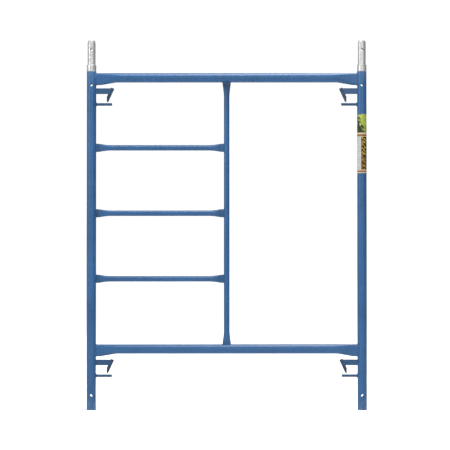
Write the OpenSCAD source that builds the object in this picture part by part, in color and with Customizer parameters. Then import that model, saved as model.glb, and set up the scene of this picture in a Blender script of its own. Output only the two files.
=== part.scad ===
// Scaffold frame section with a built-in ladder, two coupling pins and four gravity brace locks.
// X runs across the width, the front faces -Y and Z is up. The origin is on the ground,
// midway between the two legs. All sizes are in millimetres.

/* [Frame] */
// Distance between the centre lines of the two legs
frame_width = 1219.2; // [914:0.1:1524]
// Height of each leg
leg_height = 1524; // [1270:0.1:1980]
// Outside diameter of the legs and bearers
main_od = 42.9; // [38:0.1:51.5]
// Wall thickness of the legs and bearers
main_wall = 2.4; // [2:0.05:3.2]
// Drop from the leg top to the upper edge of the top bearer
bearer_drop = 6.35; // [4:0.05:40]
// Height of the bottom bearer's centre line
bottom_bearer_z = 274; // [270:0.5:340]

/* [Bearer ends] */
// Height of a bearer where it is pressed flat against the leg
bearer_end_height = 54.6; // [54:0.1:57]
// Length of the flat at each end of a bearer
bearer_flat = 20; // [10:0.5:30]
// Length over which a bearer changes from flat to round
bearer_taper = 70; // [50:1:90]

/* [Ladder] */
// Distance from the left leg's centre line to the stile's centre line
ladder_width = 609.6; // [457:0.1:740]
// Outside diameter of the stile and rungs
ladder_od = 25.4; // [22:0.1:30.5]
// Wall thickness of the stile and rungs
ladder_wall = 1.65; // [1.4:0.05:2]
// Distance from one rung to the next
rung_pitch = 295.2; // [200:0.1:310]
// Height of a rung's pressed end, as a multiple of the tube's diameter
rung_end_ratio = 1.457; // [1.3:0.001:1.46]
// Width of the stile's pressed end, as a multiple of the tube's diameter
stile_end_ratio = 1.46; // [1.3:0.001:1.46]

/* [Coupling pins] */
// Clearance all round between a coupling pin and the leg's bore
pin_play = 1.05; // [0.5:0.05:2]
// Wall thickness of a coupling pin
pin_wall = 3.2; // [2.5:0.1:4]
// Length of a coupling pin above its collar
pin_above = 109.5; // [90:0.5:130]
// Length of a coupling pin inside the leg
pin_below = 100; // [80:0.5:120]
// Height of the collar that rests on the leg top
collar_height = 30; // [20:0.5:38]
// Diameter of the holes for the locking pins
lock_hole_d = 12.7; // [10:0.1:15.3]
// Depth of the upper lock hole below the leg top
lock_hole_drop = 61.5; // [50:0.5:75]
// Height of the lower lock hole above the leg bottom
lock_hole_rise = 65; // [50:0.5:80]
// Height of the coupling pin's own lock hole above its collar
pin_hole_rise = 67; // [50:0.5:80]
// Depth of the enlarged socket at the leg bottom
socket_depth = 115; // [100:1:150]

/* [Brace locks] */
// Diameter of a brace stud
stud_d = 12.7; // [10.6:0.1:15.3]
// Length of a brace stud from the leg
stud_length = 71.5; // [60:0.5:85]
// Height of the arm's centre line above the brace stud
stud_drop = 59.8; // [58:0.1:72]
// Depth of an arm's centre line below the bearer's lower edge at the leg
arm_drop = 27; // [26:0.5:35]
// Height of the folded arm
arm_height = 25.4; // [22:0.1:30]
// Thickness of the arm's folded sheet
arm_sheet = 3; // [2.5:0.1:3.6]
// Distance from the leg to the latch pivot
pivot_reach = 68.2; // [62:0.1:78]
// Lean of the latch from the vertical when it is closed
latch_lean = 24.75; // [22:0.05:28]
// Width of the latch
latch_width = 15.6; // [13:0.1:18]
// Thickness of the latch
latch_thick = 6; // [5:0.1:7.2]
// Distance from the pivot to the latch's top end
latch_head = 15; // [13:0.1:18]
// Distance from the pivot to the latch's tip
latch_tail = 52; // [44:0.5:54]

/* [Label] */
// Height of the label on the right leg
label_height = 266; // [180:1:300]
// Drop from the leg top to the label's upper edge
label_drop = 193; // [150:1:700]

/* [Hidden] */
$fn = 64;

paint = [0.24, 0.42, 0.62];
zinc = [0.78, 0.78, 0.77];

leg_x = frame_width / 2;
main_r = main_od / 2;
ladder_r = ladder_od / 2;
stile_x = ladder_width - leg_x;
top_bearer_z = leg_height - bearer_drop - main_r;
ladder_mid_z = (top_bearer_z + bottom_bearer_z) / 2;
rung_z = [for (i = [-1:1]) ladder_mid_z + i * rung_pitch];

// A pressed end is [full height, flat length, taper length, power of the taper's curve]
bearer_end = [bearer_end_height, bearer_flat, bearer_taper, 1];
rung_flat = 14;
rung_taper = 54;
rung_curve = 1.8;
rung_end = [rung_end_ratio * ladder_od, rung_flat, rung_taper, rung_curve];
stile_flat = 8;
stile_taper = 56;
stile_curve = 1.5;
stile_end = [stile_end_ratio * ladder_od, stile_flat, stile_taper, stile_curve];
bearer_cope = 0.6 * main_r;
ladder_cope = 5;
end_sides = 24;
outer_steps = 5;
inner_steps = 3;
end_ease = 0.05;
end_overlap = 2;

socket_relief = 0.25;
pin_r = main_r - main_wall - pin_play;
pin_tip = 10;
pin_tip_inset = 2.3;
collar_chamfer = 1;
collar_grip = 0.4;
stud_chamfer = 1;
stud_fillet = 4;
bead = 3;
oval_step = 0.02;

upper_arm_z = top_bearer_z + main_r - bearer_end_height - arm_drop;
lower_arm_z = bottom_bearer_z + main_r - bearer_end_height - arm_drop;
play = 0.2;
side_play = 0.3;
slot_y = latch_thick / 2 + side_play;
arm_y = slot_y + arm_sheet;
arm_end_reach = 6.8;
arm_end_top = 7.5;
arm_end_foot = 2;
rivet_r = 4;
rivet_play = 0.05;
rivet_head_r = 5.5;
rivet_head_height = 1.6;
rivet_head_slope = 2;
rivet_head_edge = 0.6;
latch_tip_r = 4;
tip_sides = 12;
pivot = [pivot_reach, 0];
latch_up = [sin(latch_lean), cos(latch_lean)];
latch_out = [cos(latch_lean), -sin(latch_lean)];

label_thick = 0.15;
label_wrap = 160;

// Half thickness of a tube of radius r that is pressed to half height h, with its outline kept
function pressed_half(r, h) = (PI * r - 2 * h) / (PI - 2);

// Half height of a pressed end a share s of the way along its taper
function taper_half(r, end, s) = r + (end[0] / 2 - r) * pow(1 - s, end[3]);

// An oval of half height h and half thickness t in the YZ plane at x, lowered by drop
function oval(x, h, t, drop) = [
    for (i = [0:end_sides - 1])
        let (a = 360 * (i + 0.5) / end_sides)
        [x, t * cos(a), t * sin(a) + sign(sin(a)) * (h - t) - drop]
];

// One ring of a pressed end. Its upper edge stays level if level is true
function end_ring(x, r, h, inset, level) =
    oval(x, h - inset, pressed_half(r, h) - inset, level ? h - r : 0);

// The rings of a pressed end, from inside its neighbour to just past the start of the round tube
function end_rings(r, end, cope, steps, inset, level) = [
    end_ring(-cope, r, end[0] / 2, inset, level),
    for (k = [0:steps])
        end_ring(end[1] + end[2] * k / steps, r, taper_half(r, end, k / steps), inset, level),
    end_ring(end[1] + end[2] + end_overlap, r, r, inset, level)
];

// A solid through a list of rings with the same number of points
module loft(rings) {
    n = len(rings[0]);
    last = (len(rings) - 1) * n;
    sides = [
        for (k = [0:len(rings) - 2], i = [0:n - 1])
            let (a = k * n + i, b = k * n + (i + 1) % n)
            each [[a, a + n, b + n], [a, b + n, b]]
    ];
    caps = [[for (i = [0:n - 1]) i], [for (i = [n - 1:-1:0]) last + i]];
    polyhedron(points = [for (ring = rings) each ring], faces = concat(sides, caps));
}

// The outside (inset 0) or the inside (inset = wall) of a tube along +X with two pressed ends.
// The tube fills the gap from 0 to length between its neighbours and runs on into them by cope
module pressed_bar(length, r, end, cope, steps, inset, level) {
    run = end[1] + end[2];
    rings = end_rings(r - end_ease, end, cope, steps, inset, level);
    translate([run, 0, 0]) rotate([0, 90, 0]) cylinder(r = r - inset, h = length - 2 * run);
    loft(rings);
    translate([length, 0, 0]) mirror([1, 0, 0]) loft(rings);
}

// A hollow tube along +X with two pressed ends
module pressed_tube(length, od, wall, end, cope, level = false) {
    difference() {
        pressed_bar(length, od / 2, end, cope, outer_steps, 0, level);
        pressed_bar(length, od / 2, end, cope + 1, inner_steps, wall, level);
    }
}

// A solid round bar across the leg centre at height z, used to drill the lock holes
module lock_drill(z) {
    translate([0, 0, z]) rotate([90, 0, 0]) cylinder(d = lock_hole_d, h = 3 * main_od, center = true);
}

// The full outline of a leg, used to shape what is welded to it
module leg_outline(x) {
    translate([x, 0, -1]) cylinder(d = main_od, h = leg_height + 2);
}

module leg(x) {
    bore_r = main_r - main_wall;
    color(paint) translate([x, 0, 0]) difference() {
        cylinder(r = main_r, h = leg_height);
        translate([0, 0, -1]) cylinder(r = bore_r, h = leg_height + 2);
        translate([0, 0, -1]) cylinder(r = bore_r + socket_relief, h = socket_depth + 1);
        lock_drill(lock_hole_rise);
        lock_drill(leg_height - lock_hole_drop);
    }
}

module bearer(z) {
    color(paint) difference() {
        translate([-leg_x + main_r, 0, z])
            pressed_tube(frame_width - main_od, main_od, main_wall, bearer_end, bearer_cope, true);
        leg_outline(-leg_x);
        leg_outline(leg_x);
    }
}

// The full outline of a bearer where the stile meets it
module bearer_outline(z) {
    translate([stile_x, 0, z]) rotate([0, 90, 0]) cylinder(r = main_r, h = 4 * main_od, center = true);
}

// The stile hangs between the bearers: the tube's own +X axis points down
module stile() {
    length = top_bearer_z - bottom_bearer_z - main_od;
    color(paint) difference() {
        translate([stile_x, 0, top_bearer_z - main_r]) rotate([0, 90, 0])
            pressed_tube(length, ladder_od, ladder_wall, stile_end, ladder_cope);
        bearer_outline(top_bearer_z);
        bearer_outline(bottom_bearer_z);
    }
}

module rung(z) {
    color(paint) difference() {
        translate([-leg_x + main_r, 0, z])
            pressed_tube(ladder_width - main_r - ladder_r, ladder_od, ladder_wall, rung_end, ladder_cope);
        leg_outline(-leg_x);
        translate([stile_x, 0, z]) cylinder(d = ladder_od, h = 4 * ladder_od, center = true);
    }
}

// A coupling pin, turned from its tapered lower end to its tapered upper end
module coupling_pin(x) {
    r = pin_r;
    base = leg_height - pin_below;
    top = leg_height + collar_height + pin_above;
    color(zinc) translate([x, 0, 0]) difference() {
        rotate_extrude() polygon([
            [r - pin_wall, base], [r - pin_tip_inset, base], [r, base + pin_tip],
            [r, leg_height], [r - collar_grip, leg_height],
            [r - collar_grip, leg_height + collar_height], [r, leg_height + collar_height],
            [r, top - pin_tip], [r - pin_tip_inset, top], [r - pin_wall, top]
        ]);
        lock_drill(leg_height - lock_hole_drop);
        lock_drill(leg_height + collar_height + pin_hole_rise);
    }
}

// The collar is pressed into a shallow groove round the pin and rests on the leg top
module pin_collar(x) {
    bore_r = pin_r - collar_grip;
    top = leg_height + collar_height;
    color(zinc) translate([x, 0, 0]) rotate_extrude() polygon([
        [bore_r, leg_height], [main_r, leg_height], [main_r, top - collar_chamfer],
        [main_r - collar_chamfer, top], [bore_r, top]
    ]);
}

// Places a brace lock made at the left leg: x is measured from the leg's inner face and z from
// the arm's centre line. side is -1 for the left leg and 1 for the right one
module lock_place(side, z) {
    mirror([side > 0 ? 1 : 0, 0, 0]) translate([-leg_x + main_r, 0, z]) children();
}

// The leg as a lock sees it
module lock_leg() {
    translate([-main_r, 0, 0]) cylinder(d = main_od, h = 8 * arm_height, center = true);
}

// Extrudes an outline drawn in X and Z from y0 to y1
module upright(y0, y1) {
    translate([0, y1, 0]) rotate([90, 0, 0]) linear_extrude(y1 - y0) children();
}

// A stud with the weld fillet at its foot
module brace_stud(side, z) {
    r = stud_d / 2;
    color(paint) lock_place(side, z - stud_drop) difference() {
        rotate([0, 90, 0]) rotate_extrude() polygon([
            [0, -main_r / 2], [r + stud_fillet, -main_r / 2], [r + stud_fillet, 0],
            [r, stud_fillet], [r, stud_length - stud_chamfer],
            [r - stud_chamfer, stud_length], [0, stud_length]
        ]);
        lock_leg();
    }
}

// The latch's edge that faces the leg, at height z above the pivot
function latch_edge_x(z) = pivot[0] + z * tan(latch_lean) - latch_width / 2 / cos(latch_lean);

// The arm is a folded channel, open below and at its end. The end of its top web is the stop of
// the closed latch, and the web's underside is the stop of the open one
module lock_arm(side, z) {
    h = arm_height / 2;
    web_z = h - arm_sheet;
    web_end = latch_edge_x(web_z) - play;
    color(paint) lock_place(side, z) difference() {
        upright(-arm_y, arm_y) polygon([
            [-main_r / 2, -h], [-main_r / 2, h], [web_end, h],
            [pivot[0] + arm_end_reach, arm_end_top],
            [pivot[0] + arm_end_reach, -arm_end_foot],
            [pivot[0] + arm_end_foot, -h]
        ]);
        upright(-slot_y, slot_y) polygon([
            [-main_r, -arm_height], [-main_r, web_z], [web_end, web_z], [web_end, arm_height],
            [2 * pivot[0], arm_height], [2 * pivot[0], -arm_height]
        ]);
        lock_leg();
        translate([pivot[0], 0, 0]) rotate([90, 0, 0])
            cylinder(r = rivet_r + rivet_play, h = 4 * arm_y, center = true);
    }
}

// The latch's outline: a straight lever whose tail narrows to a round tip
module latch_outline() {
    w = latch_width / 2;
    head = pivot + latch_head * latch_up;
    tip = pivot - (latch_tail - latch_tip_r) * latch_up + (w - latch_tip_r) * latch_out;
    knee_x = tip[0] - latch_tip_r;
    knee_u = (knee_x - pivot[0] + w * latch_out[0]) / latch_up[0];
    tip_arc = [
        for (k = [0:tip_sides])
            let (a = -latch_lean - (180 - latch_lean) * k / tip_sides)
            tip + latch_tip_r * [cos(a), sin(a)]
    ];
    polygon([
        head - w * latch_out, head + w * latch_out,
        each tip_arc, pivot + knee_u * latch_up - w * latch_out
    ]);
}

// A lever between the arm's two cheeks. Its own weight holds it closed over the brace stud
module latch(side, z) {
    color(paint) lock_place(side, z) difference() {
        upright(-latch_thick / 2, latch_thick / 2) latch_outline();
        translate([pivot[0], 0, 0]) rotate([90, 0, 0])
            cylinder(r = rivet_r + rivet_play, h = 4 * arm_y, center = true);
    }
}

// A low-headed rivet through the arm's cheeks and the latch
module latch_rivet(side, z) {
    top = arm_y + rivet_head_height;
    lock_place(side, z) translate([pivot[0], 0, 0]) rotate([90, 0, 0]) rotate_extrude() polygon([
        [0, -top], [rivet_head_r - rivet_head_slope, -top],
        [rivet_head_r, -arm_y - rivet_head_edge], [rivet_head_r, -arm_y],
        [rivet_r, -arm_y], [rivet_r, arm_y],
        [rivet_head_r, arm_y], [rivet_head_r, arm_y + rivet_head_edge],
        [rivet_head_r - rivet_head_slope, top], [0, top]
    ]);
}

module latch_rivets() {
    color(zinc) for (side = [-1, 1], z = [upper_arm_z, lower_arm_z]) latch_rivet(side, z);
}

// An oval of half height h and half thickness t
module oval_outline(h, t) {
    for (s = [-1, 1]) translate([s * (h - t), 0]) circle(r = t);
    square([2 * (h - t), 2 * (t - oval_step)], center = true);
}

// A weld bead round a pressed end at x = 0
module oval_bead(r, end) {
    h = end[0] / 2;
    t = pressed_half(r, h);
    rotate([0, 90, 0]) translate([0, 0, -bead]) linear_extrude(2 * bead) difference() {
        oval_outline(h + bead, t + bead);
        oval_outline(h, t);
    }
}

// The two fillets that hold an arm to its leg
module arm_beads(side, z) {
    lock_place(side, z) difference() {
        linear_extrude(arm_height, center = true) for (s = [-1, 1]) polygon([
            [-main_r / 2, s * arm_y], [bead, s * arm_y],
            [0, s * (arm_y + bead)], [-main_r / 2, s * (arm_y + bead)]
        ]);
        lock_leg();
    }
}

// Bearer and arm beads on one leg
module leg_welds(side) {
    color(paint) {
        difference() {
            for (z = [top_bearer_z, bottom_bearer_z])
                lock_place(side, z - bearer_end_height / 2 + main_r) oval_bead(main_r, bearer_end);
            leg_outline(side * leg_x);
        }
        for (z = [upper_arm_z, lower_arm_z]) arm_beads(side, z);
    }
}

module welds_left_leg() {
    leg_welds(-1);
    color(paint) difference() {
        for (z = rung_z) lock_place(-1, z) oval_bead(ladder_r, rung_end);
        leg_outline(-leg_x);
    }
}

module welds_ladder() {
    color(paint) {
        difference() {
            for (z = rung_z)
                translate([stile_x - ladder_r, 0, z]) mirror([1, 0, 0]) oval_bead(ladder_r, rung_end);
            translate([stile_x, 0, 0]) cylinder(r = ladder_r, h = leg_height);
        }
        difference() {
            translate([stile_x, 0, top_bearer_z - main_r]) rotate([0, 90, 0])
                oval_bead(ladder_r, stile_end);
            bearer_outline(top_bearer_z);
        }
        difference() {
            translate([stile_x, 0, bottom_bearer_z + main_r]) rotate([0, -90, 0])
                oval_bead(ladder_r, stile_end);
            bearer_outline(bottom_bearer_z);
        }
    }
}

// A thin printed sheet wrapped round the front of the right leg
module leg_label() {
    z = leg_height - label_drop - label_height;
    color("gold") translate([leg_x, 0, z]) rotate([0, 0, -90 - label_wrap / 2])
        rotate_extrude(angle = label_wrap) translate([main_r, 0]) square([label_thick, label_height]);
}

leg(-leg_x);  // left_leg
leg(leg_x);  // right_leg
bearer(top_bearer_z);  // top_bearer
bearer(bottom_bearer_z);  // bottom_bearer
stile();  // ladder_stile
rung(rung_z[0]);  // rung_lower
rung(rung_z[1]);  // rung_middle
rung(rung_z[2]);  // rung_upper
coupling_pin(-leg_x);  // coupling_pin_left
coupling_pin(leg_x);  // coupling_pin_right
pin_collar(-leg_x);  // pin_collar_left
pin_collar(leg_x);  // pin_collar_right
brace_stud(-1, upper_arm_z);  // brace_stud_upper_left
brace_stud(1, upper_arm_z);  // brace_stud_upper_right
brace_stud(-1, lower_arm_z);  // brace_stud_lower_left
brace_stud(1, lower_arm_z);  // brace_stud_lower_right
lock_arm(-1, upper_arm_z);  // lock_arm_upper_left
lock_arm(1, upper_arm_z);  // lock_arm_upper_right
lock_arm(-1, lower_arm_z);  // lock_arm_lower_left
lock_arm(1, lower_arm_z);  // lock_arm_lower_right
latch(-1, upper_arm_z);  // latch_upper_left
latch(1, upper_arm_z);  // latch_upper_right
latch(-1, lower_arm_z);  // latch_lower_left
latch(1, lower_arm_z);  // latch_lower_right
latch_rivets();
welds_left_leg();
leg_welds(1);  // welds_right_leg
welds_ladder();
leg_label();
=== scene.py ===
import math

import bmesh
import bpy
from mathutils import Matrix, Vector, noise
from mathutils.kdtree import KDTree


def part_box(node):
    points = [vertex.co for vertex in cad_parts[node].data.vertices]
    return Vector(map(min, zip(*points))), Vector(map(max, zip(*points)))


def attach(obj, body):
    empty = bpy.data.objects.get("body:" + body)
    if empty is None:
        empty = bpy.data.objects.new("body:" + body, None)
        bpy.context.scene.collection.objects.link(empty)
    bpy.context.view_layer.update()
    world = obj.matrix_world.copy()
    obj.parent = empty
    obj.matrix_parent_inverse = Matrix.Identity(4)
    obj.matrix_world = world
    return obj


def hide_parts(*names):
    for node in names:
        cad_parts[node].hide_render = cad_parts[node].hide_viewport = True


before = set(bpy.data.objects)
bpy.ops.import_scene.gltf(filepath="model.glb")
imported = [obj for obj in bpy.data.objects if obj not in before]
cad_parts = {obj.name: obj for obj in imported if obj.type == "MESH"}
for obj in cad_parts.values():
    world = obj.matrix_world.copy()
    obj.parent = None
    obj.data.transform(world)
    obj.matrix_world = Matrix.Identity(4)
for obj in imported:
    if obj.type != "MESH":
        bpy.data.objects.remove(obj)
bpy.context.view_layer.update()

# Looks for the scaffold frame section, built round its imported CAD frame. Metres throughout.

MM = 0.001
LEVELS = ("upper", "lower")
SHARP_ANGLE = math.radians(38)

# ---------------------------------------------------------------- sizes read from the frame


def middle(node, axis):
    """The middle of a CAD node's box along one axis."""
    low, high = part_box(node)
    return (low[axis] + high[axis]) / 2


def extent(node, axis):
    """The length of a CAD node's box along one axis."""
    low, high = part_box(node)
    return high[axis] - low[axis]


X, Y, Z = 0, 1, 2
LEG_X = middle("right_leg", X)
LEG_R = extent("right_leg", X) / 2
LEG_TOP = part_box("right_leg")[1].z
BEARER_R = extent("top_bearer", Y) / 2
BEARER_Z = {level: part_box(f"{level}_bearer")[1].z - BEARER_R for level in ("top", "bottom")}
RUNGS = ("rung_lower", "rung_middle", "rung_upper")
LADDER_R = extent("rung_middle", Y) / 2
STILE_X = middle("ladder_stile", X)
PIN_R = extent("coupling_pin_left", X) / 2
PIN_LOW, PIN_HIGH = (corner.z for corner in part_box("coupling_pin_left"))
COLLAR_LOW, COLLAR_HIGH = (corner.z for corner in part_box("pin_collar_left"))

# These repeat the design values that a box doesn't show
MAIN_WALL = 2.4 * MM
SOCKET_RELIEF = 0.25 * MM
SOCKET_DEPTH = 115 * MM
PIN_WALL = 3.2 * MM
PIN_TIP = 10 * MM
PIN_TIP_INSET = 2.3 * MM
PIN_GROOVE = 0.4 * MM
LOCK_HOLE_R = 6.35 * MM
LOCK_HOLES = (65 * MM, LEG_TOP - 61.5 * MM)
PIN_HOLE_Z = COLLAR_HIGH + 67 * MM

# These belong to the looks only
OVAL_SIDES = 72
TURNED_SIDES = 96
HOLE_SIDES = 48
END_SINK = 0.7 * MM      # how far a tube's shaped end reaches into its neighbour
END_RING = 0.6 * MM      # from a tube's end to the first ring of its mesh
RING_GAP = 60 * MM       # between the rings of a leg's mesh
HOLE_CLEAR = 11 * MM     # from a hole's middle to the nearest ring
EDGE_BREAK = 0.5 * MM    # at a leg's ends and round the lock holes
RIM_WORN = 0.7 * MM      # how far the wear reaches round a hole
TURNED_EDGE = 1.2 * MM   # the rounding of a pin's and a collar's edges
BEARER_BEAD = 2.9 * MM   # radii of the weld beads
LADDER_BEAD = 2.5 * MM
ARM_BEAD = 2.3 * MM
ARM_BEAD_POINTS = 44
BEAD_SIDES = 12
RIPPLE = 2.6 * MM        # the length of one ripple of a bead


class PressedEnd:
    """How a tube's end is pressed flat: half height, flat length, taper length and the taper's power."""

    def __init__(self, half, flat, taper, power):
        self.half = half
        self.flat = flat
        self.taper = taper
        self.power = power


BEARER_END = PressedEnd(extent("top_bearer", Z) / 2, 20 * MM, 70 * MM, 1)
RUNG_END = PressedEnd(extent("rung_middle", Z) / 2, 14 * MM, 54 * MM, 1.8)
STILE_END = PressedEnd(extent("ladder_stile", X) / 2, 8 * MM, 56 * MM, 1.5)

# ---------------------------------------------------------------- material helpers


class Nodes:
    """A material's node tree, with short calls for the nodes that this scene uses."""

    def __init__(self, name):
        self.material = bpy.data.materials.new(name)
        self.material.use_nodes = True
        self.tree = self.material.node_tree
        self.tree.nodes.clear()
        self.output = self.tree.nodes.new("ShaderNodeOutputMaterial")
        self.shader = self.tree.nodes.new("ShaderNodeBsdfPrincipled")
        self.link(self.shader.outputs["BSDF"], self.output.inputs["Surface"])
        self.object_point = self.tree.nodes.new("ShaderNodeTexCoord").outputs["Object"]

    def link(self, source, target):
        self.tree.links.new(source, target)

    def put(self, value, socket):
        """Links a node's output to a socket, or sets a plain value on it."""
        if isinstance(value, bpy.types.NodeSocket):
            self.link(value, socket)
        else:
            socket.default_value = value

    def math(self, operation, a, b=0.0, clamp=False):
        node = self.tree.nodes.new("ShaderNodeMath")
        node.operation = operation
        node.use_clamp = clamp
        self.put(a, node.inputs[0])
        self.put(b, node.inputs[1])
        return node.outputs[0]

    def stretched(self, scale):
        """The object's own coordinates, scaled along each axis."""
        node = self.tree.nodes.new("ShaderNodeMapping")
        self.link(self.object_point, node.inputs["Vector"])
        node.inputs["Scale"].default_value = scale
        return node.outputs[0]

    def noise(self, scale, detail=2.0, roughness=0.5, point=None, distortion=0.0):
        node = self.tree.nodes.new("ShaderNodeTexNoise")
        self.link(point or self.object_point, node.inputs["Vector"])
        node.inputs["Scale"].default_value = scale
        node.inputs["Detail"].default_value = detail
        node.inputs["Roughness"].default_value = roughness
        node.inputs["Distortion"].default_value = distortion
        return node.outputs["Fac"]

    def cells(self, scale, output="Color", feature="F1"):
        node = self.tree.nodes.new("ShaderNodeTexVoronoi")
        node.feature = feature
        self.link(self.object_point, node.inputs["Vector"])
        node.inputs["Scale"].default_value = scale
        return node.outputs[output]

    def grey(self, colour):
        node = self.tree.nodes.new("ShaderNodeRGBToBW")
        self.link(colour, node.inputs[0])
        return node.outputs[0]

    def span(self, value, low, high, to_low=0.0, to_high=1.0):
        """Maps low..high to to_low..to_high, held at both ends."""
        node = self.tree.nodes.new("ShaderNodeMapRange")
        node.clamp = True
        self.put(value, node.inputs["Value"])
        node.inputs["From Min"].default_value = low
        node.inputs["From Max"].default_value = high
        node.inputs["To Min"].default_value = to_low
        node.inputs["To Max"].default_value = to_high
        return node.outputs[0]

    def mix(self, factor, a, b):
        """A colour that goes from a to b with the factor."""
        node = self.tree.nodes.new("ShaderNodeMix")
        node.data_type = "RGBA"
        self.put(factor, node.inputs["Factor"])
        self.put(a, node.inputs[6])
        self.put(b, node.inputs[7])
        return node.outputs[2]

    def wear_and_shade(self):
        """How much a point is rubbed, 0 to 1, as the piece's own mesh says, drawn as painted edge shade on
        the lock parts. Below 0 it is painted shade.
        """
        node = self.tree.nodes.new("ShaderNodeAttribute")
        node.attribute_name = "wear_and_shade"
        return node.outputs["Fac"]

    def axis_value(self, axis):
        node = self.tree.nodes.new("ShaderNodeSeparateXYZ")
        self.link(self.object_point, node.inputs[0])
        return node.outputs[axis]

    def bump(self, height, distance, strength=1.0, below=None):
        node = self.tree.nodes.new("ShaderNodeBump")
        node.inputs["Strength"].default_value = strength
        node.inputs["Distance"].default_value = distance
        self.put(height, node.inputs["Height"])
        if below is not None:
            self.link(below, node.inputs["Normal"])
        return node.outputs[0]

    def finish(self, colour, roughness, normal, metallic=0.0):
        self.put(colour, self.shader.inputs["Base Color"])
        self.put(roughness, self.shader.inputs["Roughness"])
        self.put(metallic, self.shader.inputs["Metallic"])
        self.link(normal, self.shader.inputs["Normal"])
        return self.material


def rgb(r, g, b):
    return (r, g, b, 1.0)


def enamel(name, colour, along, edge=rgb(0.13, 0.22, 0.36), edge_share=0.5, tired=0.0):
    """Sprayed enamel on steel. Its draw lines run along the axis that the tube was drawn along.

    edge is the colour that a rubbed place goes towards: lighter where the film is thin, darker as painted
    edge shade on the lock parts. tired adds wear all over. Where the mesh's wear is below 0, the colour goes
    dark as painted shade.
    """
    n = Nodes(name)
    drawn = [900.0, 900.0, 900.0]
    drawn[along] = 14.0
    lines = n.noise(1.0, detail=3, point=n.stretched(drawn))
    cloud = n.noise(7.0, detail=4, roughness=0.6)
    peel = n.noise(430.0, detail=2)
    scuff = n.noise(90.0, detail=5, roughness=0.7, point=n.stretched([1.0, 1.0, 0.35]))
    shade = rgb(*(c * 0.88 for c in colour[:3]))
    light = rgb(*(c * 1.10 + 0.003 for c in colour[:3]))
    clean = n.mix(n.span(cloud, 0.32, 0.68), shade, light)
    # Painted shade: where the wear is below 0, in the leg bores, at the stile's top and by the rung ends, the
    # colour goes dark.
    body = n.mix(n.span(n.wear_and_shade(), -1.0, 0.0, 0.8, 0.0), clean, rgb(0.007, 0.030, 0.060))

    slant = n.tree.nodes.new("ShaderNodeMapping")
    n.link(n.object_point, slant.inputs["Vector"])
    slant.inputs["Rotation"].default_value = (0.3, 0.5, 0.4)
    slant.inputs["Scale"].default_value = (620.0, 620.0, 24.0)
    hair = n.noise(1.0, detail=2, point=slant.outputs[0])
    scratch = n.math("MULTIPLY", n.span(hair, 0.70, 0.74), n.span(cloud, 0.50, 0.60))

    # Rubbed places go towards the edge colour: thinned paint on the frame and latches, painted edge shade on
    # the lock arms and studs.
    wear_and_edge_shade = n.math("MULTIPLY", n.span(n.math("ADD", n.wear_and_shade(), tired), 0.05, 1.0), n.span(scuff, 0.38, 0.60))
    thin_film_and_edge_shade = n.mix(n.math("MULTIPLY", wear_and_edge_shade, edge_share * 1.6, clamp=True), body, edge)
    scored = n.mix(n.math("MULTIPLY", scratch, 0.55), thin_film_and_edge_shade, rgb(0.10, 0.20, 0.38))
    grit = n.span(n.cells(150.0, output="Distance"), 0.03, 0.07, 0.35, 0.0)
    dusty = n.mix(n.math("MULTIPLY", grit, n.span(cloud, 0.50, 0.62)), scored, rgb(0.035, 0.07, 0.14))
    chips = n.math("MULTIPLY", n.span(n.wear_and_shade(), 0.50, 0.90), n.span(scuff, 0.58, 0.62))
    bare = n.mix(chips, dusty, rgb(0.20, 0.18, 0.16))

    dull = n.math("ADD", n.math("MULTIPLY", wear_and_edge_shade, 0.22), n.math("MULTIPLY", scratch, 0.20))
    rough = n.math("ADD", n.span(cloud, 0.3, 0.7, 0.25, 0.36), dull, clamp=True)
    flow = n.bump(n.noise(40.0, detail=1), 0.0005, 0.3)
    skin = n.bump(peel, 0.0003, 0.18, below=flow)
    cut = n.math("ADD", n.math("MULTIPLY", chips, -1.0), n.math("MULTIPLY", scratch, -0.5))
    fine = n.bump(n.math("ADD", n.math("MULTIPLY", lines, 0.5), cut), 0.00012, 0.3, below=skin)
    n.shader.inputs["Specular IOR Level"].default_value = 0.36
    n.shader.inputs["Coat Weight"].default_value = 0.10
    n.shader.inputs["Coat Roughness"].default_value = 0.16
    return n.finish(bare, rough, fine)


def galvanised(name):
    """Hot-dip zinc: spangles, a dull bloom in patches, and bright rub marks. Wear below 0 is painted shade in
    the bore.
    """
    n = Nodes(name)
    cell = n.grey(n.cells(170.0))
    small = n.grey(n.cells(420.0))
    cloud = n.noise(26.0, detail=4, roughness=0.6)
    tone = n.math("ADD", n.math("MULTIPLY", cell, 0.55), n.math("MULTIPLY", small, 0.25))
    zinc = n.mix(n.span(tone, 0.15, 0.65), rgb(0.39, 0.39, 0.385), rgb(0.63, 0.63, 0.625))
    bloom = n.mix(n.span(cloud, 0.45, 0.75, 0.0, 0.5), zinc, rgb(0.52, 0.52, 0.51))
    rubs = n.noise(1.0, detail=3, point=n.stretched([700.0, 700.0, 25.0]))
    marking = n.math("MULTIPLY", n.span(rubs, 0.56, 0.68), n.span(cloud, 0.35, 0.65, 0.15, 0.6))
    bright = n.mix(n.math("MAXIMUM", marking, n.math("MULTIPLY", n.wear_and_shade(), 0.5)), bloom, rgb(0.70, 0.70, 0.69))
    # Painted shade: the bore goes dark where the wear is below 0.
    colour = n.mix(n.span(n.wear_and_shade(), -0.5, -0.05, 1.0, 0.0), bright, rgb(0.05, 0.05, 0.048))
    rough = n.math("SUBTRACT", n.span(tone, 0.1, 0.7, 0.44, 0.30), n.math("MULTIPLY", marking, 0.10))
    edges = n.bump(n.cells(170.0, output="Distance", feature="DISTANCE_TO_EDGE"), 0.0004, 0.25)
    runs = n.bump(n.noise(95.0, detail=3), 0.0007, 0.5, below=edges)
    return n.finish(colour, rough, runs, metallic=0.82)


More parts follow.
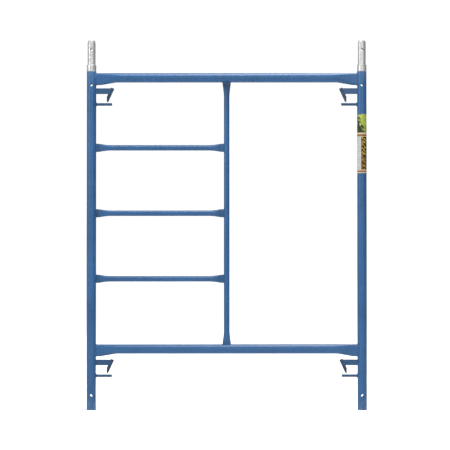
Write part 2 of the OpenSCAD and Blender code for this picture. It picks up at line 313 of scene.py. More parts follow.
def weld_enamel(name, colour):
    """The same enamel over a rippled bead: darker in random patches, with a little spatter."""
    n = Nodes(name)
    cloud = n.noise(60.0, detail=4, roughness=0.65)
    beads = n.cells(330.0, output="Distance")
    dark = [c * 0.62 for c in colour[:3]]
    tone = n.mix(n.span(cloud, 0.35, 0.65), rgb(*dark), colour)
    worn = n.mix(n.math("MULTIPLY", n.wear_and_shade(), 0.35), tone, rgb(0.12, 0.20, 0.33))
    rough = n.span(cloud, 0.3, 0.7, 0.36, 0.52)
    lumps = n.bump(n.span(beads, 0.0, 0.25, 1.0, 0.0), 0.0004, 0.35)
    grain = n.bump(n.noise(420.0, detail=3), 0.00035, 0.6, below=lumps)
    return n.finish(worn, rough, grain)


def plain_studio(name):
    """The pale studio floor: a faint, slow mottling, burnt out to white as in a product picture.

    Its glow is for the camera's rays alone and lights nothing.
    """
    n = Nodes(name)
    cloud = n.noise(1.3, detail=3)
    colour = n.mix(n.span(cloud, 0.3, 0.7), rgb(0.86, 0.86, 0.86), rgb(0.89, 0.89, 0.89))
    material = n.finish(colour, n.span(cloud, 0.3, 0.7, 0.75, 0.85), n.bump(n.noise(260.0), 0.0002, 0.2))
    glow = n.tree.nodes.new("ShaderNodeEmission")
    glow.inputs["Strength"].default_value = 0.60
    seen = n.tree.nodes.new("ShaderNodeLightPath")
    amount = n.tree.nodes.new("ShaderNodeMixShader")
    both = n.tree.nodes.new("ShaderNodeAddShader")
    n.link(seen.outputs["Is Camera Ray"], amount.inputs[0])
    n.link(glow.outputs[0], amount.inputs[2])
    n.link(n.shader.outputs[0], both.inputs[0])
    n.link(amount.outputs[0], both.inputs[1])
    n.link(both.outputs[0], n.output.inputs["Surface"])
    return material


BLUE = rgb(0.0148, 0.083, 0.214)
# The lock blue darkened, as painted shade on the latch levers and their rivets.
LATCH_SHADED_BLUE = rgb(0.009, 0.030, 0.060)
LOCK_BLUE = rgb(0.0095, 0.060, 0.146)
# Painted edge shade: the colour that the lock arms' and studs' rounded edges go dark towards.
LOCK_EDGE_SHADE = rgb(0.012, 0.030, 0.070)

# ---------------------------------------------------------------- mesh helpers


def wear_and_shade_layer(mesh_data):
    return mesh_data.verts.layers.float.get("wear_and_shade") or mesh_data.verts.layers.float.new("wear_and_shade")


def shade(bm):
    """Smooth shading, broken at sharp edges."""
    for face in bm.faces:
        face.smooth = True
    for edge in bm.edges:
        edge.smooth = len(edge.link_faces) == 2 and edge.calc_face_angle(0) < SHARP_ANGLE


def add_piece(name, bm, material, body, replaces):
    """Makes an object of a bmesh, smooth except over sharp edges, and fixes it to a CAD body."""
    wear_and_shade_layer(bm)
    bmesh.ops.recalc_face_normals(bm, faces=bm.faces)
    shade(bm)
    mesh = bpy.data.meshes.new(name)
    bm.to_mesh(mesh)
    bm.free()
    obj = bpy.data.objects.new(name, mesh)
    bpy.context.scene.collection.objects.link(obj)
    mesh.materials.append(material)
    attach(obj, body)
    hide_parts(*replaces)
    return obj


def add_skin(bm, rings):
    """Faces between rings of points."""
    rows = [[bm.verts.new(point) for point in ring] for ring in rings]
    count = len(rows[0])
    for low, high in zip(rows, rows[1:]):
        for i in range(count):
            j = (i + 1) % count
            bm.faces.new((low[i], low[j], high[j], high[i]))
    return rows


def close_oval(bm, row):
    """Closes an oval row with strips from its upper half down to its lower half."""
    last = len(row) - 1
    for i in range(len(row) // 2 - 1):
        bm.faces.new((row[i], row[i + 1], row[last - i - 1], row[last - i]))


def stadium(half_height, half_thick):
    """Points (across, up) round an oval with straight flanks."""
    points = []
    for i in range(OVAL_SIDES):
        a = 2 * math.pi * (i + 0.5) / OVAL_SIDES
        up = half_thick * math.sin(a) + math.copysign(half_height - half_thick, math.sin(a))
        points.append((half_thick * math.cos(a), up))
    return points


def pressed_thickness(r, half):
    """Half the thickness of a round tube pressed to half height half, its outline's length kept."""
    return (math.pi * r - 2 * half) / (math.pi - 2)


# ---------------------------------------------------------------- tubes


def pressed_tube_rings(length, r, end, near_r, far_r, level):
    """Rings (along, across, up) of a tube with two pressed ends.

    near_r and far_r are the radii of the round tubes that its two ends are shaped to.
    level keeps the upper edge straight, so that the pressed end grows downwards only.
    """

    def ring(along, half, cope=None, back=1):
        thick = pressed_thickness(r, half)
        drop = half - r if level else 0.0
        points = []
        for across, up in stadium(half, thick):
            s = along
            if cope:
                s = -(cope - math.sqrt(cope * cope - across * across)) - END_SINK
            points.append(((s if back > 0 else length - s), across, up - drop))
        return points

    def half_at(s):
        share = min(1.0, max(0.0, (s - end.flat) / end.taper))
        return r + (end.half - r) * (1 - share) ** end.power

    steps = [end.flat * k / 4 for k in range(1, 5)]
    steps += [end.flat + end.taper * k / 18 for k in range(1, 19)]
    steps = [END_RING] + steps
    near = [ring(0, end.half, cope=near_r)] + [ring(s, half_at(s)) for s in steps]
    far = [ring(s, half_at(s), back=-1) for s in reversed(steps)] + [ring(0, end.half, cope=far_r, back=-1)]
    run = steps[-1]
    body = [ring(run + (length - 2 * run) * k / 24, r) for k in range(1, 24)]
    return near + body + far


def add_pressed_tube(node, place, rings, marking, material):
    """One pressed tube. place turns (along, across, up) into a point, and the function after rings gives each
    point's wear, with painted shade as values below 0.
    """
    bm = bmesh.new()
    wear_and_shade = wear_and_shade_layer(bm)
    rows = add_skin(bm, [[place(*point) for point in ring] for ring in rings])
    for ring, row in zip(rings, rows):
        for point, vert in zip(ring, row):
            vert[wear_and_shade] = marking(*point)
    for row in (rows[0], rows[-1]):
        close_oval(bm, row)
    add_piece(f"{node}_tube", bm, material, "frame", [node])


def build_bearers(material):
    length = 2 * (LEG_X - LEG_R)
    rings = pressed_tube_rings(length, BEARER_R, BEARER_END, LEG_R, LEG_R, level=True)
    for level, z in BEARER_Z.items():

        def place(along, across, up, z=z):
            return (along - length / 2, across, z + up)

        def marking(along, across, up):
            on_top = max(0.0, up / BEARER_R - 0.75) * 3
            return 0.08 * on_top + 0.04

        add_pressed_tube(f"{level}_bearer", place, rings, marking, material)


def painted_end_shade(along, length):
    """Painted shade by the welds of a ladder tube, as a wear value below 0."""
    return max(0.0, 0.55 - min(along, length - along) / (75 * MM))


def build_rungs(material):
    start = -LEG_X + LEG_R
    length = STILE_X - LADDER_R - start
    rings = pressed_tube_rings(length, LADDER_R, RUNG_END, LEG_R, LADDER_R, level=False)
    for node in RUNGS:
        z = middle(node, Z)

        def place(along, across, up, z=z):
            return (start + along, across, z + up)

        def marking(along, across, up):
            on_top = max(0.0, up / LADDER_R - 0.5) * 2
            trodden = math.sin(math.pi * along / length) ** 2
            # Real wear on the trodden top, less painted shade by both welded ends.
            return 0.22 * on_top * trodden + 0.04 - painted_end_shade(along, length)

        add_pressed_tube(node, place, rings, marking, material)


def build_stile(material):
    low = BEARER_Z["bottom"] + BEARER_R
    high = BEARER_Z["top"] - BEARER_R
    rings = pressed_tube_rings(high - low, LADDER_R, STILE_END, BEARER_R, BEARER_R, level=False)

    def place(along, across, up):
        return (STILE_X + up, across, low + along)

    def marking(along, across, up):
        # Painted shadow: below 0 near the top, where the top bearer shades the stile.
        return 0.04 - max(0.0, 0.95 - (high - low - along) / (170 * MM))

    add_pressed_tube("ladder_stile", place, rings, marking, material)


def turned(bm, x, outline):
    """A closed solid of revolution about the upright axis at x, from an outline of (radius, z)."""
    rows = []
    for k in range(TURNED_SIDES):
        a = 2 * math.pi * k / TURNED_SIDES
        rows.append([bm.verts.new((x + r * math.cos(a), r * math.sin(a), z)) for r, z in outline])
    count = len(outline)
    for k in range(TURNED_SIDES):
        near, far = rows[k], rows[(k + 1) % TURNED_SIDES]
        for i in range(count):
            j = (i + 1) % count
            bm.faces.new((near[i], far[i], far[j], near[j]))


def rounded(outline, radius, steps):
    """An outline with its corners rounded, except for corners that are nearly straight."""
    points = []
    count = len(outline)
    for i in range(count):
        before, here, after = (Vector(outline[(i + d) % count]) for d in (-1, 0, 1))
        into = before - here
        out = after - here
        reach = min(radius, into.length * 0.45, out.length * 0.45)
        if abs(into.angle(out) - math.pi) < math.radians(4):
            points.append(tuple(here))
            continue
        p = here + into.normalized() * reach
        q = here + out.normalized() * reach
        for k in range(steps + 1):
            t = k / steps
            points.append(tuple((1 - t) ** 2 * p + 2 * t * (1 - t) * here + t * t * q))
    return points


def drill(obj, x, heights):
    """Cuts the lock holes, front to back, through an upright tube."""
    drills = bmesh.new()
    for z in heights:
        made = bmesh.ops.create_cone(
            drills, cap_ends=True, segments=HOLE_SIDES, radius1=LOCK_HOLE_R, radius2=LOCK_HOLE_R,
            depth=6 * LEG_R)
        turn = Matrix.Translation((x, 0, z)) @ Matrix.Rotation(math.pi / 2, 4, "X")
        bmesh.ops.transform(drills, matrix=turn, verts=made["verts"])
    mesh = bpy.data.meshes.new("drills")
    drills.to_mesh(mesh)
    drills.free()
    cutter = bpy.data.objects.new("drills", mesh)
    bpy.context.scene.collection.objects.link(cutter)
    cut = obj.modifiers.new("holes", "BOOLEAN")
    cut.operation = "DIFFERENCE"
    cut.solver = "EXACT"
    cut.object = cutter
    bpy.context.view_layer.update()
    depsgraph = bpy.context.evaluated_depsgraph_get()
    result = bpy.data.meshes.new_from_object(obj.evaluated_get(depsgraph))
    obj.modifiers.clear()
    obj.data = result
    bpy.data.objects.remove(cutter)
    bpy.data.meshes.remove(mesh)


def finish_drilled(obj, x, heights, bore, marking):
    """Bevels the rims of the holes, marks the wear, with -1 in the bore for painted shade there, and shades
    the piece.
    """
    bm = bmesh.new()
    bm.from_mesh(obj.data)
    wear_and_shade = wear_and_shade_layer(bm)
    rims = []
    for edge in bm.edges:
        if len(edge.link_faces) != 2 or edge.calc_face_angle(0) < math.radians(50):
            continue
        ends = [vert.co for vert in edge.verts]
        for z in heights:
            reach = [math.hypot(co.x - x, co.z - z) for co in ends]
            if all(abs(r - LOCK_HOLE_R) < 0.1 * MM for r in reach):
                rims.append(edge)
                break
    bmesh.ops.bevel(
        bm, geom=rims, offset=EDGE_BREAK, segments=2, profile=0.5, affect="EDGES", clamp_overlap=True)
    for vert in bm.verts:
        near = min(math.hypot(vert.co.x - x, vert.co.z - z) - LOCK_HOLE_R for z in heights)
        vert[wear_and_shade] = max(marking(vert.co), 0.5 if near < RIM_WORN else 0.0)
        # Painted shade inside the bore.
        if math.hypot(vert.co.x - x, vert.co.y) < bore + 0.3 * MM:
            vert[wear_and_shade] = -1.0
    shade(bm)
    bm.to_mesh(obj.data)
    bm.free()


def levels_between(low, high, gap, extra):
    """Heights from low to high, about gap apart, with extra ones added."""
    count = max(1, round((high - low) / gap))
    heights = [low + (high - low) * k / count for k in range(1, count)]
    kept = [z for z in heights if all(abs(z - e) > 4 * MM for e in extra)]
    return sorted(kept + list(extra))


def build_leg(side, x, material):
    """A leg: drawn tube with a sized socket at its foot, broken edges and two cross holes."""
    bore = LEG_R - MAIN_WALL
    socket = bore + SOCKET_RELIEF
    round_holes = [z + d for z in LOCK_HOLES for d in (-HOLE_CLEAR, HOLE_CLEAR)]
    outside = levels_between(0, LEG_TOP, RING_GAP, round_holes)
    corners = [
        (LEG_R, 0), (LEG_R, LEG_TOP), (bore, LEG_TOP),
        (bore, SOCKET_DEPTH), (socket, SOCKET_DEPTH), (socket, 0),
    ]
    edge_free = rounded(corners, EDGE_BREAK, 3)
    # The outside's rings go in just above the foot's rounded edge
    start = next(i for i, p in enumerate(edge_free) if abs(p[0] - LEG_R) < 1e-9 and 0 < p[1] < 1 * MM)
    outline = edge_free[:start + 1] + [(LEG_R, z) for z in outside] + edge_free[start + 1:]
    bm = bmesh.new()
    turned(bm, x, outline)
    obj = add_piece(f"{side}_leg_tube", bm, material, "frame", [f"{side}_leg"])
    drill(obj, x, LOCK_HOLES)

    def marking(co):
        foot = max(0.0, 1 - co.z / (18 * MM))
        head = max(0.0, 1 - (LEG_TOP - co.z) / (6 * MM))
        return min(1.0, 0.9 * foot + 0.7 * head + 0.04)

    finish_drilled(obj, x, LOCK_HOLES, bore, marking)


def build_coupling_pin(side, x, material):
    """A coupling pin: tapered ends, a groove for its collar and two cross holes."""
    bore = PIN_R - PIN_WALL
    slim = PIN_R - PIN_GROOVE
    corners = [
        (bore, PIN_LOW), (PIN_R - PIN_TIP_INSET, PIN_LOW), (PIN_R, PIN_LOW + PIN_TIP),
        (PIN_R, COLLAR_LOW), (slim, COLLAR_LOW), (slim, COLLAR_HIGH), (PIN_R, COLLAR_HIGH),
        (PIN_R, PIN_HIGH - PIN_TIP), (PIN_R - PIN_TIP_INSET, PIN_HIGH), (bore, PIN_HIGH),
    ]
    bm = bmesh.new()
    turned(bm, x, rounded(corners, TURNED_EDGE, 4))
    obj = add_piece(f"coupling_pin_{side}_tube", bm, material, f"coupling_pin_{side}",
                    [f"coupling_pin_{side}"])
    holes = (LOCK_HOLES[1], PIN_HOLE_Z)
    drill(obj, x, holes)

    def marking(co):
        tip = max(0.0, 1 - (PIN_HIGH - co.z) / (12 * MM))
        return min(1.0, 0.8 * tip)

    finish_drilled(obj, x, holes, bore, marking)


def build_collar(side, x, material):
    """The pressed collar: a plain band with rolled edges and a shallow groove near each end."""
    bore = PIN_R - PIN_GROOVE
    height = COLLAR_HIGH - COLLAR_LOW
    groove = 0.35 * MM
    corners = [(bore, COLLAR_LOW), (LEG_R, COLLAR_LOW)]
    for share in (0.12, 0.86):
        z = COLLAR_LOW + share * height
        corners += [(LEG_R, z - 0.8 * MM), (LEG_R - groove, z), (LEG_R, z + 0.8 * MM)]
    corners += [(LEG_R, COLLAR_HIGH), (bore, COLLAR_HIGH)]
    bm = bmesh.new()
    wear_and_shade = wear_and_shade_layer(bm)
    turned(bm, x, rounded(corners, TURNED_EDGE, 4))
    for vert in bm.verts:
        edge = min(vert.co.z - COLLAR_LOW, COLLAR_HIGH - vert.co.z)
        vert[wear_and_shade] = max(0.0, 0.7 - edge / (3 * MM))
    add_piece(f"pin_collar_{side}_band", bm, material, f"coupling_pin_{side}",
              [f"pin_collar_{side}"])


# ---------------------------------------------------------------- lock parts, softened from the CAD


def clean_copy(node):
    """A bmesh of a CAD node with its flat faces whole again."""
    bm = bmesh.new()
    bm.from_mesh(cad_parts[node].data)
    bmesh.ops.remove_doubles(bm, verts=bm.verts, dist=0.002 * MM)
    bmesh.ops.dissolve_limit(bm, angle_limit=math.radians(0.8), verts=bm.verts, edges=bm.edges)
    return bm


def soften(bm, offset, choose, segments=3):
    """Rounds the edges that choose picks."""
    sharp = [e for e in bm.edges if len(e.link_faces) == 2 and e.calc_face_angle(0) > math.radians(30)]
    edges = [e for e in sharp if choose(e)]
    if edges:
        bmesh.ops.bevel(
            bm, geom=edges, offset=offset, segments=segments, profile=0.5, affect="EDGES", clamp_overlap=True)


def drop_slivers(bm):
    """Joins points that coincide, and takes away the folded slivers that this can leave."""
    bmesh.ops.remove_doubles(bm, verts=bm.verts, dist=0.01 * MM)
    bmesh.ops.dissolve_degenerate(bm, dist=0.005 * MM, edges=bm.edges)
    flaps = [face for face in bm.faces if {len(edge.link_faces) for edge in face.edges} >= {1, 3}]
    bmesh.ops.delete(bm, geom=flaps, context="FACES")


def wear_and_shade_edges(bm, most, reach):
    """Cuts the faces small, then marks the rounded edges most and fades the mark out over reach. The paint
    draws it as wear, and on the lock parts as painted edge shade.
    """
    drop_slivers(bm)
    bmesh.ops.triangulate(bm, faces=bm.faces)
    longest = 1.8 * reach
    for _ in range(7):
        long_edges = [edge for edge in bm.edges if edge.calc_length() > longest]
        if not long_edges:
            break
        bmesh.ops.subdivide_edges(bm, edges=long_edges, cuts=1)
        bmesh.ops.triangulate(bm, faces=bm.faces)
    drop_slivers(bm)
    wear_and_shade = wear_and_shade_layer(bm)
    curved = [v for v in bm.verts if any(e.calc_face_angle(0) > math.radians(12) for e in v.link_edges)]
    tree = KDTree(len(curved))
    for i, vert in enumerate(curved):
        tree.insert(vert.co, i)
    tree.balance()
    for vert in bm.verts:
        distance = tree.find(vert.co)[2]
        vert[wear_and_shade] = most * max(0.0, 1 - distance / reach)


def build_arm(node, material):
    """A folded arm: wide bends along its top, and broken edges elsewhere."""
    bm = clean_copy(node)
    low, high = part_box(node)

    def is_bend(edge):
        along_x = abs((edge.verts[0].co - edge.verts[1].co).normalized().x) > 0.98
        on_side = all(min(abs(v.co.y - low.y), abs(v.co.y - high.y)) < 0.05 * MM for v in edge.verts)
        on_top = all(high.z - v.co.z < 0.05 * MM for v in edge.verts)
        return along_x and on_side and on_top

    soften(bm, 2.4 * MM, is_bend, 5)
    soften(bm, 0.35 * MM, lambda edge: True, 2)
    # The lock paint draws this edge mark darker, as painted edge shade.
    wear_and_shade_edges(bm, 0.55, 2 * MM)
    add_piece(f"{node}_channel", bm, material, "frame", [node])


def build_latch(node, material):
    """A latch: a lever with all its edges rounded."""
    bm = clean_copy(node)
    soften(bm, 0.9 * MM, lambda edge: True, 3)
    wear_and_shade_edges(bm, 0.7, 2 * MM)
    add_piece(f"{node}_lever", bm, material, node, [node])


def build_stud(node, material):
    """A brace stud, more worn towards its tip; the lock paint draws this wear darker, as painted edge shade.
    """
    bm = clean_copy(node)
    soften(bm, 0.5 * MM, lambda edge: True, 2)
    wear_and_shade_edges(bm, 0.5, 3 * MM)
    wear_and_shade = wear_and_shade_layer(bm)
    low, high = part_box(node)
    tip = low.x if middle(node, X) > 0 else high.x
    for vert in bm.verts:
        # Painted edge shade on the lock paint, with real wear, stronger towards the tip.
        vert[wear_and_shade] = max(vert[wear_and_shade], 0.55 - abs(vert.co.x - tip) / (30 * MM), 0.10)
    add_piece(f"{node}_bar", bm, material, "frame", [node])


def build_rivets(material):
    """The four latch rivets, in one piece as in the CAD."""
    bm = clean_copy("latch_rivets")
    soften(bm, 0.4 * MM, lambda edge: True, 2)
    wear_and_shade_edges(bm, 0.6, 2 * MM)
    add_piece("latch_rivet_heads", bm, material, "frame", ["latch_rivets"])


# ---------------------------------------------------------------- welds


def add_bead(bm, path, normals, radius, closed, seed):
    """A weld bead: a round rope along path whose radius swells with each ripple.

    normals point away from the joint. The rope's lower side is hidden in the two tubes.
    """
    wear_and_shade = wear_and_shade_layer(bm)
    count = len(path)
    run = 0.0
    rows = []
    for k in range(count):
        before = path[k - 1] if closed or k else path[k]
        after = path[(k + 1) % count] if closed or k < count - 1 else path[k]
        tangent = (after - before).normalized()
        if k:
            run += (path[k] - path[k - 1]).length
        phase = (run / RIPPLE + 0.25 * noise.noise(Vector((run * 90, seed, 0)))) % 1.0
        swell = 1 + 0.34 * (phase - 0.5) + 0.12 * noise.noise(Vector((run * 160, seed, 3.1)))
        if not closed:
            end = min(k, count - 1 - k) / 5
            swell *= math.sqrt(min(1.0, 0.25 + end))
        out = (normals[k] - tangent * normals[k].dot(tangent)).normalized()
        side = tangent.cross(out)
        r = radius * swell
        row = []
        for i in range(BEAD_SIDES):
            a = 2 * math.pi * i / BEAD_SIDES
            vert = bm.verts.new(path[k] + r * (math.cos(a) * out + math.sin(a) * side))
            vert[wear_and_shade] = max(0.0, math.cos(a)) * 0.5
            row.append(vert)
        rows.append(row)
    pairs = list(zip(rows, rows[1:])) + ([(rows[-1], rows[0])] if closed else [])
    for low, high in pairs:
        for i in range(BEAD_SIDES):
            j = (i + 1) % BEAD_SIDES
            bm.faces.new((low[i], low[j], high[j], high[i]))
    if not closed:
        bm.faces.new(list(reversed(rows[0])))
        bm.faces.new(rows[-1])


def even_loop(points, gap):
    """The closed loop through the points, resampled about gap apart."""
    loop = points + [points[0]]
    lengths = [0.0]
    for a, b in zip(loop, loop[1:]):
        lengths.append(lengths[-1] + (b - a).length)
    count = max(12, round(lengths[-1] / gap))
    result = []
    i = 0
    for k in range(count):
        target = lengths[-1] * k / count
        while lengths[i + 1] < target:
            i += 1
        t = (target - lengths[i]) / (lengths[i + 1] - lengths[i])
        result.append(loop[i].lerp(loop[i + 1], t))
    return result


def end_bead(bm, r, end, cope, to_world, drop, radius, seed):
    """The bead round one pressed end of a tube of radius r, where it meets a tube of radius cope.

    to_world turns (out of the joint, across, up) into a direction or a point. drop is how far the
    pressed end's middle lies below the tube's axis.
    """
    thick = pressed_thickness(r, end.half)
    fine = []
    for across, up in stadium(end.half, thick):
        fine.append(Vector((-(cope - math.sqrt(cope * cope - across * across)), across, up - drop)))
    flat = even_loop(fine, 0.55 * MM)
    normals = []
    for p in flat:
        up = p.z + drop
        centre_up = math.copysign(max(0.0, end.half - thick), up) if abs(up) > end.half - thick else up
        outward = Vector((0, p.y, up - centre_up))
        outward = outward.normalized() if outward.length > 1e-9 else Vector((0, 1, 0))
        normals.append((outward + Vector((1, 0, 0))).normalized())
    inset = 0.30 * radius
    path = [to_world(p - n * inset, True) for p, n in zip(flat, normals)]
    turned_normals = [to_world(n, False) for n in normals]
    add_bead(bm, path, turned_normals, radius, True, seed)


def leg_bead_place(side, z):
    """Directions at a leg's inner face: the first coordinate points away from the leg."""

    def to_world(v, is_point):
        if is_point:
            return Vector((side * (LEG_X - LEG_R) - side * v.x, v.y, z + v.z))
        return Vector((-side * v.x, v.y, v.z))

    return to_world


def arm_beads(bm, side, node, seed):
    """Two upright fillets that hold an arm to its leg."""
    low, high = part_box(node)
    for face, y in ((-1, low.y), (1, high.y)):
        reach = math.sqrt(LEG_R ** 2 - y ** 2)
        corner_x = side * (LEG_X - reach)
        path = []
        normals = []
        for k in range(ARM_BEAD_POINTS):
            z = low.z + (high.z - low.z) * (k + 0.5) / ARM_BEAD_POINTS
            path.append(Vector((corner_x, y, z)))
            normals.append(Vector((-side, face, 0)).normalized())
        path = [p - n * 0.5 * MM for p, n in zip(path, normals)]
        add_bead(bm, path, normals, ARM_BEAD, False, seed + face)


def build_welds(material):
    """The beads at each leg, and those at the stile."""
    for side, name in ((-1, "left"), (1, "right")):
        bm = bmesh.new()
        for k, z in enumerate(BEARER_Z.values()):
            end_bead(bm, BEARER_R, BEARER_END, LEG_R, leg_bead_place(side, z), BEARER_END.half - BEARER_R,
                     BEARER_BEAD, 3.0 + k + side)
        if side < 0:
            for k, node in enumerate(RUNGS):
                place = leg_bead_place(side, middle(node, Z))
                end_bead(bm, LADDER_R, RUNG_END, LEG_R, place, 0.0, LADDER_BEAD, 11.0 + k)
        for k, level in enumerate(LEVELS):
            arm_beads(bm, side, f"lock_arm_{level}_{name}", 21.0 + 3 * k + side)
        add_piece(f"weld_beads_{name}_leg", bm, material, "frame", [f"welds_{name}_leg"])
    bm = bmesh.new()
    for k, node in enumerate(RUNGS):
        z = middle(node, Z)

        def at_stile(v, is_point, z=z):
            if is_point:
                return Vector((STILE_X - LADDER_R - v.x, v.y, z + v.z))
            return Vector((-v.x, v.y, v.z))

        end_bead(bm, LADDER_R, RUNG_END, LADDER_R, at_stile, 0.0, LADDER_BEAD, 31.0 + k)
    for k, (level, way) in enumerate((("top", -1), ("bottom", 1))):
        face = BEARER_Z[level] + way * BEARER_R

        def at_bearer(v, is_point, face=face, way=way):
            if is_point:
                return Vector((STILE_X + v.z, v.y, face + way * v.x))
            return Vector((v.z, v.y, way * v.x))

        end_bead(bm, LADDER_R, STILE_END, BEARER_R, at_bearer, 0.0, LADDER_BEAD, 41.0 + k)
    add_piece("weld_beads_ladder", bm, material, "frame", ["welds_ladder"])


# ---------------------------------------------------------------- the printed label


def label_print(name):
    """A weathered printed label: a leafy green field, fine rules, and a dark band with gold brush marks.

    It has no lettering.
    """
    low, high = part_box("leg_label")
    n = Nodes(name)
    height = n.span(n.axis_value("Z"), low.z, high.z)
    sideways = n.span(n.axis_value("X"), LEG_X - LEG_R, LEG_X + LEG_R)
    veins = n.noise(420.0, detail=2)
    leaves = n.noise(78.0, detail=1.5, roughness=0.5, distortion=1.8)
    green = n.mix(n.span(veins, 0.35, 0.65), rgb(0.16, 0.27, 0.030), rgb(0.40, 0.45, 0.055))
    streaks = n.noise(1.0, detail=1, distortion=1.2, point=n.stretched([60.0, 60.0, 150.0]))
    pale = n.math("MULTIPLY", n.span(streaks, 0.56, 0.60), n.span(sideways, 0.35, 0.60, 1.0, 0.2))
    green = n.mix(pale, green, rgb(0.56, 0.60, 0.28))
    leafy = n.math("SUBTRACT", leaves, n.span(sideways, 0.10, 0.66, -0.10, 0.30))
    leafy = n.math("SUBTRACT", leafy, n.span(height, 0.76, 0.88, -0.24, 0.01))
    green = n.mix(n.span(leafy, 0.47, 0.53), green, rgb(0.022, 0.032, 0.014))
    cream = rgb(0.48, 0.42, 0.27)
    rules = n.math("SINE", n.math("MULTIPLY", height, 230.0))
    white = n.mix(n.span(rules, -0.3, 0.5, 0.0, 0.55), rgb(0.50, 0.505, 0.50), rgb(0.20, 0.23, 0.20))
    slant = n.math("ADD", n.math("MULTIPLY", height, 95.0), n.math("MULTIPLY", sideways, 11.0))
    waver = n.math("MULTIPLY", n.noise(70.0, detail=2, distortion=1.2), 14.0)
    streak = n.math("SINE", n.math("ADD", slant, waver))
    gold_share = n.span(height, 0.06, 0.60, 0.25, 0.60)
    brushed = n.math("MULTIPLY", n.math("GREATER_THAN", streak, gold_share), n.span(veins, 0.34, 0.48))
    gold = n.mix(n.span(height, 0.1, 0.5), rgb(0.40, 0.20, 0.03), rgb(0.66, 0.42, 0.05))
    inner = n.math("MULTIPLY", n.span(sideways, 0.44, 0.48), n.span(sideways, 0.92, 0.96, 1.0, 0.0))
    band = n.mix(n.math("MULTIPLY", brushed, inner), rgb(0.012, 0.009, 0.007), gold)
    lower = n.mix(n.math("GREATER_THAN", sideways, 0.40), white, band)

    def layer(colour, start, stop, below):
        inside = n.math("MULTIPLY", n.math("GREATER_THAN", height, start), n.math("LESS_THAN", height, stop))
        return n.mix(inside, below, colour)

    art = layer(lower, 0.060, 0.615, cream)
    art = layer(rgb(0.22, 0.035, 0.015), 0.020, 0.042, art)
    art = layer(rgb(0.20, 0.050, 0.020), 0.628, 0.655, art)
    art = layer(green, 0.686, 1.01, art)
    scuffs = n.noise(1.0, detail=4, roughness=0.7, point=n.stretched([260.0, 260.0, 60.0]))
    faded = n.mix(n.span(scuffs, 0.62, 0.70, 0.0, 0.35), art, rgb(0.50, 0.48, 0.42))
    rough = n.span(scuffs, 0.3, 0.7, 0.32, 0.50)
    wrinkle = n.bump(n.noise(1.0, detail=2, point=n.stretched([60.0, 60.0, 22.0])), 0.0006, 0.4)
    n.shader.inputs["Specular IOR Level"].default_value = 0.20
    return n.finish(faded, rough, n.bump(veins, 0.00008, 0.4, below=wrinkle))


# ---------------------------------------------------------------- studio


def build_floor():
    """A wide floor at the feet, which belongs to the stage."""
    bm = bmesh.new()
    bmesh.ops.create_grid(bm, x_segments=24, y_segments=24, size=45.0)
    mesh = bpy.data.meshes.new("studio_floor")
    bm.to_mesh(mesh)
    bm.free()
    floor = bpy.data.objects.new("studio_floor", mesh)
    bpy.context.scene.collection.objects.link(floor)
    mesh.materials.append(plain_studio("studio_floor"))


def add_light(name, place, target, size, watts):
    data = bpy.data.lights.new(name, "AREA")
    data.shape = "RECTANGLE"
    data.size, data.size_y = size
    data.energy = watts
    light = bpy.data.objects.new(name, data)
    bpy.context.scene.collection.objects.link(light)
    light.location = place
    light.rotation_euler = (Vector(target) - Vector(place)).to_track_quat("-Z", "Y").to_euler()


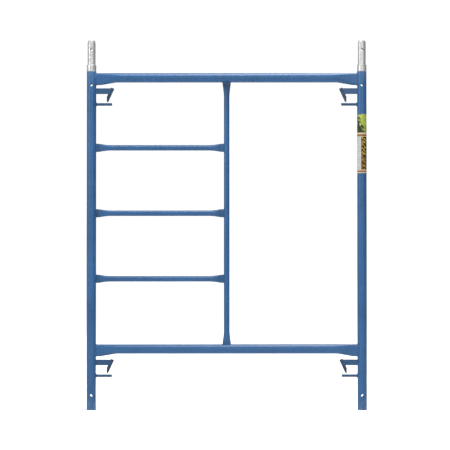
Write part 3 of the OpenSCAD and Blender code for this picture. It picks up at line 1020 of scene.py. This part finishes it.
def build_light():
    """A white backdrop, light that slopes down from the front left, and four softboxes."""
    world = bpy.data.worlds.new("studio")
    bpy.context.scene.world = world
    world.use_nodes = True
    tree = world.node_tree
    tree.nodes.clear()
    output = tree.nodes.new("ShaderNodeOutputWorld")
    seen = tree.nodes.new("ShaderNodeBackground")
    seen.inputs["Color"].default_value = rgb(1, 1, 1)
    seen.inputs["Strength"].default_value = 1.05
    fill = tree.nodes.new("ShaderNodeBackground")
    fill.inputs["Color"].default_value = rgb(1, 1, 1)
    way = tree.nodes.new("ShaderNodeTexCoord")
    slope = tree.nodes.new("ShaderNodeVectorMath")
    slope.operation = "DOT_PRODUCT"
    slope.inputs[1].default_value = (-0.45, -0.80, 0.40)
    tree.links.new(way.outputs["Generated"], slope.inputs[0])
    level = tree.nodes.new("ShaderNodeMapRange")
    level.inputs["From Min"].default_value = -0.9
    level.inputs["From Max"].default_value = 0.9
    level.inputs["To Min"].default_value = 0.10
    level.inputs["To Max"].default_value = 0.85
    tree.links.new(slope.outputs["Value"], level.inputs["Value"])
    tree.links.new(level.outputs[0], fill.inputs["Strength"])
    path = tree.nodes.new("ShaderNodeLightPath")
    choice = tree.nodes.new("ShaderNodeMixShader")
    tree.links.new(path.outputs["Is Camera Ray"], choice.inputs[0])
    tree.links.new(fill.outputs[0], choice.inputs[1])
    tree.links.new(seen.outputs[0], choice.inputs[2])
    tree.links.new(choice.outputs[0], output.inputs[0])
    target = (0, 0, LEG_TOP / 2)
    add_light("overhead_softbox", (0.4, -0.25, 4.6), target, (4.0, 1.8), 190)
    add_light("left_softbox", (-4.6, -3.2, 2.4), target, (3.0, 3.0), 75)
    add_light("front_fill", (1.5, -6.5, 2.2), target, (4.0, 3.0), 50)
    add_light("back_fill", (-2.0, 6.0, 2.4), target, (4.0, 3.0), 60)


def build_camera():
    """Level with the lower half of the frame and tipped up a little, as the photo's converging legs show."""
    distance = 7.3
    width_seen = 2.0277
    tip = math.radians(0.9)
    roll = math.radians(-0.02)
    aim_height = 0.832
    camera_x = -0.0075
    data = bpy.data.cameras.new("camera")
    data.sensor_width = 36.0
    data.lens = data.sensor_width * distance / width_seen
    data.clip_end = 200.0
    camera = bpy.data.objects.new("camera", data)
    bpy.context.scene.collection.objects.link(camera)
    place = Matrix.Translation((camera_x, -distance, aim_height - distance * math.tan(tip)))
    turn = Matrix.Rotation(math.pi / 2 + tip, 4, "X") @ Matrix.Rotation(roll, 4, "Z")
    camera.matrix_world = place @ turn
    bpy.context.scene.camera = camera


# ---------------------------------------------------------------- the scene

build_camera()
build_light()
build_floor()

upright_paint = enamel("blue_enamel_upright", BLUE, Z)
level_paint = enamel("blue_enamel_level", BLUE, X)
lock_paint = enamel("lock_enamel", LOCK_BLUE, X, edge=LOCK_EDGE_SHADE, edge_share=0.6, tired=0.05)
latch_paint = enamel("latch_enamel", LATCH_SHADED_BLUE, Z, edge=rgb(0.05, 0.07, 0.09), edge_share=0.4, tired=0.12)
zinc = galvanised("galvanised_steel")

build_bearers(level_paint)
build_rungs(level_paint)
build_stile(upright_paint)
for side, sign in (("left", -1), ("right", 1)):
    build_leg(side, sign * LEG_X, upright_paint)
    build_coupling_pin(side, sign * LEG_X, zinc)
    build_collar(side, sign * LEG_X, zinc)
    for level in LEVELS:
        build_stud(f"brace_stud_{level}_{side}", lock_paint)
        build_arm(f"lock_arm_{level}_{side}", lock_paint)
        build_latch(f"latch_{level}_{side}", latch_paint)
build_rivets(latch_paint)
build_welds(weld_enamel("weld_enamel", BLUE))

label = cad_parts["leg_label"]
label.data.materials.clear()
label.data.materials.append(label_print("printed_label"))

bpy.context.scene.view_settings.view_transform = "Standard"
